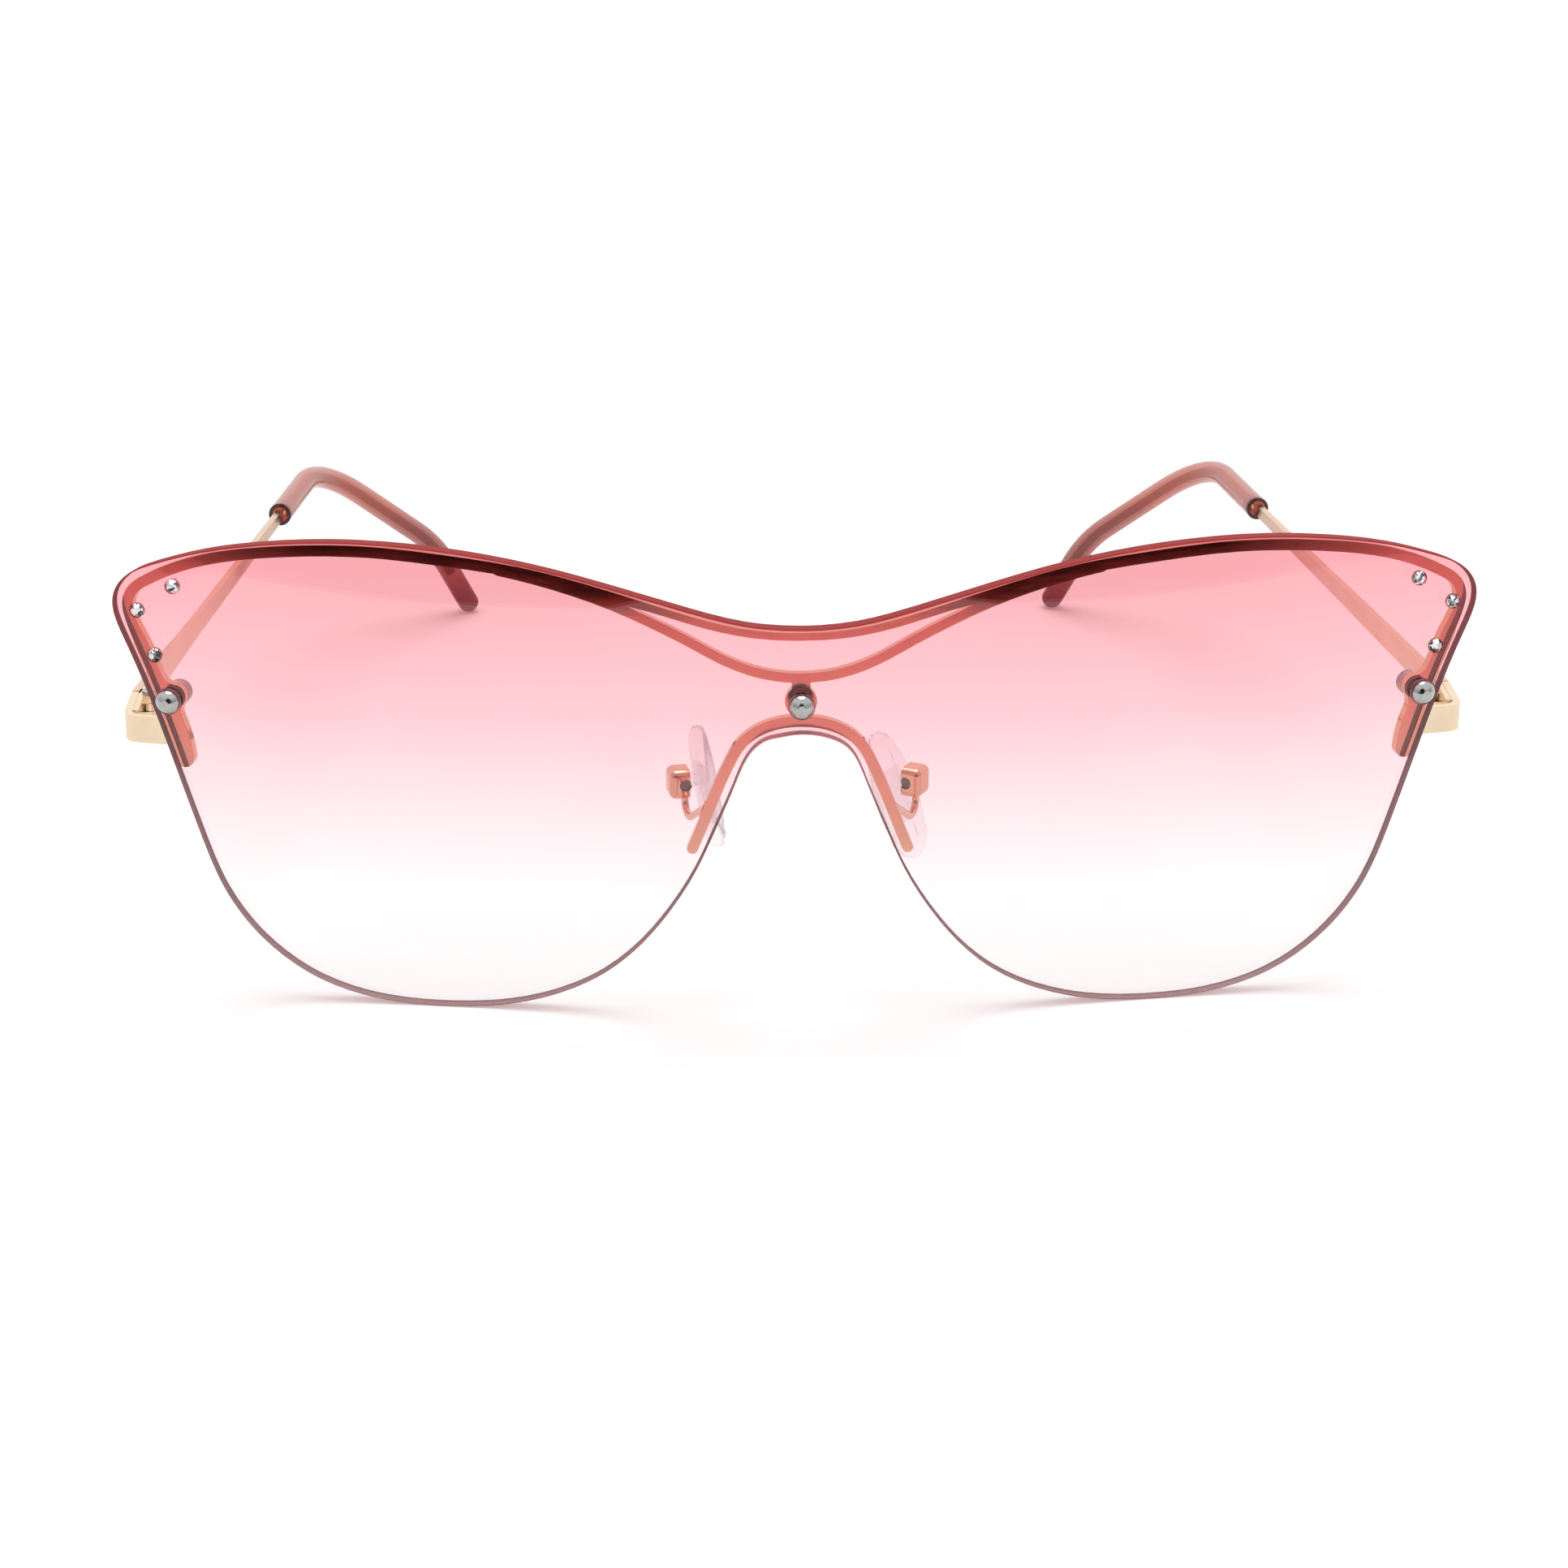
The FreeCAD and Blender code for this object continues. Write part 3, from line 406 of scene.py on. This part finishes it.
def dress_metal():
    """Finishes of the frame, the straps, the hinges, the temples and the screws."""
    rose_gold = gold_plate("rose_gold", dark=(0.76, 0.385, 0.25), light=(0.82, 0.42, 0.275),
                           roughness=(0.06, 0.12), brushing=ALONG_X)
    pale_gold = gold_plate("pale_gold", dark=(0.89, 0.71, 0.495), light=(0.94, 0.765, 0.55),
                           roughness=(0.14, 0.26), brushing=ALONG_Y)
    # Painted light: the temple arms' pale gold is painted pinker for the pink light that reaches
    # them through the lens
    pink_lit_gold = gold_plate("pink_lit_gold", dark=(0.80, 0.55, 0.385), light=(0.86, 0.60, 0.42),
                            roughness=(0.14, 0.26), brushing=ALONG_Y)
    dress(rose_gold, "front_frame", *each("pad_arm"), *each("pad_box"))
    dress(pale_gold, *each("end_piece"), *each("front_hinge_leaf"), *each("temple_hinge_leaf"))
    dress(pink_lit_gold, *each("temple_arm"))
    dress(polished_steel(), *each("lens_screw", SCREWS), *each("hinge_screw"))
    # Painted shade: the pad screws are dark for the shade in their recesses
    dress(recess_shaded_steel(), *each("pad_screw"))


def dress_lens_and_plastic():
    """Finishes of the lens, its stones and all plastic pieces."""
    mauve = clear_plastic("mauve_washer", (0.56, 0.36, 0.41), (0.68, 0.47, 0.52), clear=0.85)
    # Painted shade: the bushes are dark red-brown for the shade in the holes around them
    bush_shade = clear_plastic("shade_dark_bush", (0.26, 0.045, 0.04), (0.36, 0.07, 0.06), clear=0.5)
    pearl = clear_plastic("pearl_nut", (0.74, 0.58, 0.62), (0.83, 0.69, 0.72), clear=0.6)
    glassy = clear_plastic("glassy_lug", (0.93, 0.87, 0.88), (0.98, 0.94, 0.945), clear=0.95,
                           bend=PAD_BEND)
    dress(tinted_lens(), "shield_lens")
    dress(mauve, *each("screw_washer", SCREWS))
    dress(bush_shade, *each("lens_bush", SCREWS))
    dress(pearl, *each("cap_nut", SCREWS))
    dress(glassy, *each("pad_lug"))
    dress(foiled_stone(), *[name for side in SIDES for name in each("rhinestone_" + side, STONES)])
    dress(rose_plastic(), *each("tip_sleeve"))


# Nose pads

PAD_SCREW_PLACE = Vector((0.0124, -0.059218, 0.023237))
PAD_YAW = {"left": 30.0, "right": 12.0}
PAD_LEAN = {"left": 21.0, "right": -9.0}
PAD_HALF_WIDTH = 0.00375
PAD_HALF_HEIGHT = 0.00725
PAD_HALF_THICKNESS = 0.0011
PAD_MIDDLE = Vector((-0.00245, 0, -0.00135))
PAD_OUTLINE_POINTS = 64
PAD_TAPER = -0.2
PAD_RIM_ROUND = 0.00075
PAD_RIM_STEPS = 6
PAD_CROWN = 0.00012
PAD_CROWN_INSETS = (0.0006, 0.0012)
PAD_LOW_SHARE = -0.7
PAD_LOW_WIDENING = 1.16
SQUARE_ON = 0.999


def pad_place(side):
    """Where a pad made about its screw goes, with its lean and its turn."""
    hand = 1 if side == "left" else -1
    lean = Matrix.Rotation(math.radians(-PAD_LEAN[side] * hand), 4, "Y")
    yaw = Matrix.Rotation(math.radians(-PAD_YAW[side] * hand), 4, "Z")
    half_turn = Matrix.Rotation(0 if side == "left" else math.pi, 4, "Z")
    spot = Vector((PAD_SCREW_PLACE.x * hand, PAD_SCREW_PLACE.y, PAD_SCREW_PLACE.z))
    return Matrix.Translation(spot) @ yaw @ lean @ half_turn


def nothing_selected():
    """Deselects all objects, so that the next operator acts on its own piece only."""
    bpy.ops.object.select_all(action="DESELECT")


def pick(kind, wanted):
    """Selects the mesh parts of one kind for which the test holds."""
    bpy.ops.mesh.select_mode(type=kind)
    bpy.ops.mesh.select_all(action="DESELECT")
    shape = bmesh.from_edit_mesh(bpy.context.object.data)
    for part in {"EDGE": shape.edges, "FACE": shape.faces}[kind]:
        part.select_set(wanted(part))
    bmesh.update_edit_mesh(bpy.context.object.data)


def oval_slab(name):
    """Upright oval slab, as thick as the pad is before its faces crown."""
    nothing_selected()
    bpy.ops.mesh.primitive_cylinder_add(vertices=PAD_OUTLINE_POINTS, radius=1.0, depth=2.0,
                                        rotation=(0, math.pi / 2, 0))
    slab = bpy.context.object
    slab.name = name
    bpy.ops.object.transform_apply(location=False, rotation=True, scale=False)
    slab.scale = (PAD_HALF_THICKNESS - 2 * PAD_CROWN, PAD_HALF_WIDTH, PAD_HALF_HEIGHT)
    bpy.ops.object.transform_apply(location=False, rotation=False, scale=True)
    return slab


def round_and_crown():
    """Rounds the slab's rims, crowns its faces and widens its lower end."""
    bpy.ops.object.mode_set(mode="EDIT")
    pick("EDGE", lambda edge: abs(edge.verts[0].co.x - edge.verts[1].co.x) < PAD_CROWN)
    bpy.ops.mesh.bevel(offset=PAD_RIM_ROUND, segments=PAD_RIM_STEPS, profile=0.5, affect="EDGES")
    pick("FACE", lambda face: abs(face.normal.x) > SQUARE_ON)
    for step in PAD_CROWN_INSETS:
        bpy.ops.mesh.inset(thickness=step, depth=PAD_CROWN, use_individual=True)
    pick("FACE", lambda face: face.calc_center_median().z < PAD_LOW_SHARE * PAD_HALF_HEIGHT)
    bpy.ops.transform.resize(value=(1, PAD_LOW_WIDENING, 1), center_override=(0, 0, 0))
    bpy.ops.object.mode_set(mode="OBJECT")


def narrow_and_smooth(pad):
    """Narrows the pad towards its top and softens its faces."""
    taper = pad.modifiers.new("narrow_top", "SIMPLE_DEFORM")
    taper.deform_method = "TAPER"
    taper.deform_axis = "Z"
    taper.factor = PAD_TAPER
    taper.lock_x = True
    bpy.ops.object.modifier_apply(modifier=taper.name)
    smooth = pad.modifiers.new("soft_faces", "SUBSURF")
    smooth.levels = 1
    bpy.ops.object.modifier_apply(modifier=smooth.name)


def soft_pad(side, finish):
    """Egg-shaped silicone slab with round rims and faces that crown towards their middles."""
    pad = oval_slab("soft_pad_" + side)
    round_and_crown()
    narrow_and_smooth(pad)
    pad.location = PAD_MIDDLE
    bpy.ops.object.transform_apply(location=True, rotation=False, scale=False)
    pad.matrix_world = pad_place(side)
    bpy.ops.object.transform_apply(location=True, rotation=True, scale=True)
    bpy.ops.object.shade_smooth()
    pad.data.materials.append(finish)
    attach(pad, "nose_pad_" + side)
    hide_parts("nose_pad_" + side)


# Table, room and lamp

TABLE_SIZE = 2.4
TABLE_FRONT = -0.32
TABLE_DROP = 0.00002
TABLE_COLOUR = (0.88, 0.88, 0.88)

# Glow of the table where it is seen, where it is mirrored, which fades towards its
# front, and where the camera looks straight at it
TABLE_LIFT = 0.21
TABLE_MIRROR_LIFT = 0.12
TABLE_MIRROR_FADE = (-0.28, -0.16)
TABLE_STRAIGHT_LIFT = 0.06

# Light of the room on the pieces
ROOM_LIGHT = 0.55

# Mirror image of the room: where its dim end and its bright back lie along Y, how its
# heights run along Z, and its greys by share of that height
DIM_END_DEPTHS = (-0.89, -0.80)
BRIGHT_BACK_DEPTHS = (-0.2, 0.4)
ROOM_HEIGHTS = (-0.4, 0.6)
DIM_END_GREYS = [(0.0, 0.02), (0.4, 0.025), (0.52, 0.14), (0.8, 0.34), (1.0, 0.9)]
WALL_GREYS = [(0.3, 0.5), (0.7, 0.6), (1.0, 0.9)]

# Shade of the camera in the mirror image, and the way to it
CAMERA_WAY = (-0.0346, -0.9346, 0.3542)
CAMERA_SHADE = 0.06
CAMERA_SHADE_REACH = (0.24, 0.4)

SOFTBOX_PLACE = Vector((0, 0.2, 1.6))
SOFTBOX_TARGET = Vector((0, 0, 0))
SOFTBOX_SIZE = 1.3
SOFTBOX_POWER = 12.5


def seen_directly(tree, path):
    """1 for what is seen straight, mirrored or through glass, and 0 for light on a surface."""
    either = joined(tree, "MAXIMUM", path.outputs["Is Camera Ray"], path.outputs["Is Glossy Ray"])
    either = joined(tree, "MAXIMUM", either, path.outputs["Is Transmission Ray"])
    unlit = joined(tree, "LESS_THAN", path.outputs["Diffuse Depth"], 0.5)
    return joined(tree, "MULTIPLY", either, unlit)


def seen_mirrored(tree, path):
    """1 for what is seen in a shiny piece."""
    return joined(tree, "GREATER_THAN", path.outputs["Glossy Depth"], 0.5)


def table_glow(tree):
    """How much the table shines by itself, for each way of seeing it."""
    path = add(tree, "LightPath")
    spot = add(tree, "SeparateXYZ")
    tree.links.new(add(tree, "NewGeometry").outputs["Position"], spot.inputs["Vector"])
    far = spread(tree, spot.outputs["Y"], 0.0, TABLE_MIRROR_LIFT, *TABLE_MIRROR_FADE)
    shown = blended(tree, seen_mirrored(tree, path), TABLE_LIFT, far)
    shown = joined(tree, "MULTIPLY", seen_directly(tree, path), shown)
    straight = joined(tree, "MULTIPLY", path.outputs["Is Camera Ray"], TABLE_STRAIGHT_LIFT)
    return joined(tree, "ADD", shown, straight)


def white_table():
    """Plain pale table that shows white and keeps the shadow."""
    nothing_selected()
    middle = (0, TABLE_FRONT + TABLE_SIZE / 2, -TABLE_DROP)
    bpy.ops.mesh.primitive_plane_add(size=TABLE_SIZE, location=middle)
    table = bpy.context.object
    table.name = "table"
    finish = bpy.data.materials.new("white_table")
    finish.use_nodes = True
    tree = finish.node_tree
    tree.nodes.clear()
    output = add(tree, "OutputMaterial")
    paint = add(tree, "BsdfDiffuse", Color=(*TABLE_COLOUR, 1))
    lift = add(tree, "Emission")
    tree.links.new(table_glow(tree), lift.inputs["Strength"])
    both = add(tree, "AddShader")
    tree.links.new(paint.outputs["BSDF"], both.inputs[0])
    tree.links.new(lift.outputs["Emission"], both.inputs[1])
    tree.links.new(both.outputs["Shader"], output.inputs["Surface"])
    table.data.materials.append(finish)


def greys(tree, value, stops):
    """Ramp of plain greys."""
    return tones(tree, value, [(place, (grey, grey, grey)) for place, grey in stops])


def mirrored_room(tree):
    """Mirror image of the room, dim at the end where the camera stands."""
    way = add(tree, "TexCoord").outputs["Generated"]
    parts = add(tree, "SeparateXYZ")
    tree.links.new(way, parts.inputs["Vector"])
    front = spread(tree, parts.outputs["Y"], 1.0, 0.0, *DIM_END_DEPTHS)
    back = spread(tree, parts.outputs["Y"], 0.0, 1.0, *BRIGHT_BACK_DEPTHS)
    height = spread(tree, parts.outputs["Z"], 0.0, 1.0, *ROOM_HEIGHTS)
    walls = blended(tree, back, greys(tree, height, WALL_GREYS), 1.0)
    room = blended(tree, front, walls, greys(tree, height, DIM_END_GREYS))
    away = arrows(tree, "DISTANCE", way, CAMERA_WAY)["Value"]
    shade = spread(tree, away, CAMERA_SHADE, 1.0, *CAMERA_SHADE_REACH)
    return joined(tree, "MULTIPLY", room, shade)


def white_room():
    """Room that is white where it is seen and dimmer where it is mirrored."""
    world = bpy.data.worlds.new("white_room")
    bpy.context.scene.world = world
    world.use_nodes = True
    tree = world.node_tree
    tree.nodes.clear()
    output = add(tree, "OutputWorld")
    sky = add(tree, "Background", Color=(1, 1, 1, 1))
    path = add(tree, "LightPath")
    shown = blended(tree, seen_mirrored(tree, path), 1.0, mirrored_room(tree))
    strength = blended(tree, seen_directly(tree, path), ROOM_LIGHT, shown)
    tree.links.new(strength, sky.inputs["Strength"])
    tree.links.new(sky.outputs["Background"], output.inputs["Surface"])


def softbox():
    """Round soft lamp over the table."""
    bpy.ops.object.light_add(type="AREA", location=SOFTBOX_PLACE)
    lamp = bpy.context.object
    lamp.name = "top_softbox"
    lamp.data.shape = "DISK"
    lamp.data.size = SOFTBOX_SIZE
    lamp.data.energy = SOFTBOX_POWER
    lamp.rotation_euler = (SOFTBOX_TARGET - SOFTBOX_PLACE).to_track_quat("-Z", "Y").to_euler()


photographers_camera()
dress_metal()
dress_lens_and_plastic()
pad_silicone = silicone()
for side in SIDES:
    soft_pad(side, pad_silicone)
white_table()
white_room()
softbox()

bpy.context.scene.view_settings.view_transform = "Standard"
